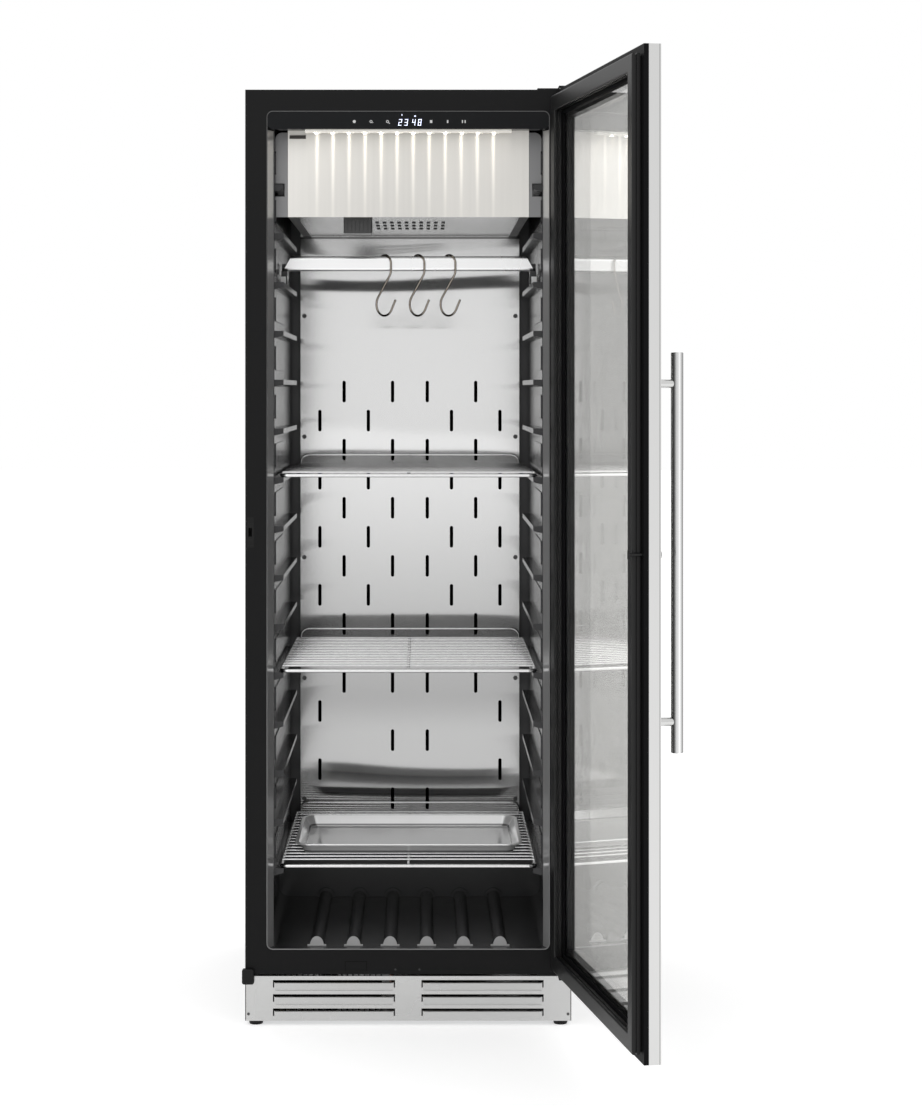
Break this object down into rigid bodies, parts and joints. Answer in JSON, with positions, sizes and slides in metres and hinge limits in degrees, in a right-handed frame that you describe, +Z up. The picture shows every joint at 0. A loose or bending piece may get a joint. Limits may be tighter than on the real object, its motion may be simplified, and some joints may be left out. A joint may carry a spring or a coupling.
{
  "type": "dry aging cabinet",
  "caption": "Upright dry aging cabinet with a glazed door on side hinges, wire shelves on ledged racks, a drip tray, a hanging bar with hooks, a slotted back panel and a louvred plinth.",
  "frame": {"origin": "on the floor, under the middle of the whole outline with the door open at its rest angle", "axes": "+X to the right and +Y to the back as seen from in front of the cabinet, +Z up"},
  "size_m": [0.746, 1.2588, 1.71],
  "materials": {
    "charcoal_paint": "satin",
    "black_paint": "satin",
    "zinc_sheet": "satin",
    "insulation_foam": "matte",
    "black_liner": "satin",
    "rack_plastic": "satin",
    "stainless_panel": "brushed",
    "stainless_trim": "brushed",
    "polished_wire": "polished",
    "tray_steel": "brushed",
    "screw_steel": "polished",
    "filter_plastic": "matte",
    "coil_aluminium": "satin",
    "coil_black": "satin",
    "fan_plastic": "satin",
    "lamp_glass": "clear",
    "fascia_plastic": "gloss",
    "circuit_board": "matte",
    "light_strip": "satin",
    "black_foot": "matte",
    "compressor_shell": "satin",
    "pan_plastic": "satin",
    "copper_pipe": "satin",
    "inlet_plastic": "matte",
    "black_trim": "satin",
    "bush_nylon": "satin",
    "door_plastic": "satin",
    "door_glass": "clear",
    "spacer_metal": "satin",
    "gasket_rubber": "matte",
    "handle_steel": "brushed",
    "lock_metal": "polished",
    "keeper_plastic": "satin"
  },
  "bodies": {
    "cabinet": {"outer_shell": "black_paint", "rear_cover": "zinc_sheet", "base_pan": "zinc_sheet", "foam_insulation": "insulation_foam", "inner_liner": "black_liner", "front_frame": "charcoal_paint", "lock_keeper": "keeper_plastic", "duct_panel": "stainless_panel", "cabinet_screws": "screw_steel", "rack_panel_right": "rack_plastic", "rack_panel_left": "rack_plastic", "rack_ledges_right": "rack_plastic", "rack_ledges_left": "rack_plastic", "top_box_front": "stainless_panel", "underside_plate": "stainless_panel", "top_box_housing": "stainless_panel", "charcoal_filter": "filter_plastic", "evaporator_coil": "coil_aluminium", "evaporator_fan_motor": "fan_plastic", "ultraviolet_lamp": "lamp_glass", "control_fascia": "fascia_plastic", "control_board": "circuit_board", "light_bar": "light_strip", "kickplate": "stainless_trim", "compressor": "compressor_shell", "condensate_pan": "pan_plastic", "condenser_coil": "coil_black", "condenser_fan_motor": "fan_plastic", "refrigerant_pipes": "copper_pipe", "power_inlet": "inlet_plastic", "upper_hinge": "black_paint", "lower_hinge": "black_paint", "hinge_blank_cap": "black_trim"},
    "evaporator_fan": {"evaporator_fan_rotor": "fan_plastic"},
    "condenser_fan": {"condenser_fan_rotor": "fan_plastic"},
    "door": {"hinge_bushes": "bush_nylon", "door_frame": "stainless_trim", "door_inner_frame": "door_plastic", "door_outer_glass": "door_glass", "door_inner_glass": "door_glass", "glass_spacer": "spacer_metal", "door_gasket": "gasket_rubber", "handle_bar": "handle_steel", "handle_posts": "handle_steel", "lock_cylinder": "lock_metal", "door_plugs": "black_trim"},
    "lock": {"lock_cam": "lock_metal"},
    "bar": {"hanging_bar": "handle_steel", "bar_brackets": "rack_plastic"},
    "hook_left": {"hook_left": "polished_wire"},
    "hook_middle": {"hook_middle": "polished_wire"},
    "hook_right": {"hook_right": "polished_wire"},
    "upper_shelf": {"shelf_upper": "polished_wire"},
    "middle_shelf": {"shelf_middle": "polished_wire"},
    "lower_shelf": {"shelf_lower": "polished_wire"},
    "tray": {"drip_tray": "tray_steel"},
    "front_left_foot": {"foot_front_left": "black_foot"},
    "front_right_foot": {"foot_front_right": "black_foot"},
    "rear_left_foot": {"foot_rear_left": "black_foot"},
    "rear_right_foot": {"foot_rear_right": "black_foot"}
  },
  "joints": [
    {"name": "door_swing", "type": "hinge", "parent": "cabinet", "child": "door", "pos_m": [0.21099, -0.05856, 0.9], "axis": [0, 0, 1], "range_deg": [-100, 5]},
    {"name": "lock_turn", "type": "hinge", "parent": "door", "child": "lock", "pos_m": [0.30328, -0.62057, 0.899], "axis": [-0.9848, -0.1736, 0], "range_deg": [0, 90]},
    {"name": "evaporator_fan_spin", "type": "hinge", "parent": "cabinet", "child": "evaporator_fan", "pos_m": [-0.07001, 0.55044, 1.577], "axis": [0, 1, 0], "continuous": true},
    {"name": "condenser_fan_spin", "type": "hinge", "parent": "cabinet", "child": "condenser_fan", "pos_m": [-0.22001, 0.08744, 0.045], "axis": [0, 1, 0], "continuous": true},
    {"name": "bar_pull", "type": "slide", "parent": "cabinet", "child": "bar", "axis": [0, -1, 0], "range_m": [0, 0.12]},
    {"name": "upper_shelf_pull", "type": "slide", "parent": "cabinet", "child": "upper_shelf", "axis": [0, -1, 0], "range_m": [0, 0.35]},
    {"name": "middle_shelf_pull", "type": "slide", "parent": "cabinet", "child": "middle_shelf", "axis": [0, -1, 0], "range_m": [0, 0.35]},
    {"name": "lower_shelf_pull", "type": "slide", "parent": "cabinet", "child": "lower_shelf", "axis": [0, -1, 0], "range_m": [0, 0.35]},
    {"name": "tray_lift", "type": "slide", "parent": "lower_shelf", "child": "tray", "axis": [0, 0, 1], "range_m": [0, 0.1]},
    {"name": "hook_left_swing", "type": "hinge", "parent": "bar", "child": "hook_left", "pos_m": [-0.11571, 0.13444, 1.406], "axis": [1, 0, 0], "range_deg": [-8, 8]},
    {"name": "hook_middle_swing", "type": "hinge", "parent": "bar", "child": "hook_middle", "pos_m": [-0.05241, 0.13444, 1.406], "axis": [1, 0, 0], "range_deg": [-8, 8]},
    {"name": "hook_right_swing", "type": "hinge", "parent": "bar", "child": "hook_right", "pos_m": [0.00619, 0.13444, 1.406], "axis": [1, 0, 0], "range_deg": [-8, 8]},
    {"name": "front_left_foot_adjust", "type": "slide", "parent": "cabinet", "child": "front_left_foot", "axis": [0, 0, -1], "range_m": [0, 0.012]},
    {"name": "front_right_foot_adjust", "type": "slide", "parent": "cabinet", "child": "front_right_foot", "axis": [0, 0, -1], "range_m": [0, 0.012]},
    {"name": "rear_left_foot_adjust", "type": "slide", "parent": "cabinet", "child": "rear_left_foot", "axis": [0, 0, -1], "range_m": [0, 0.012]},
    {"name": "rear_right_foot_adjust", "type": "slide", "parent": "cabinet", "child": "rear_right_foot", "axis": [0, 0, -1], "range_m": [0, 0.012]}
  ]
}
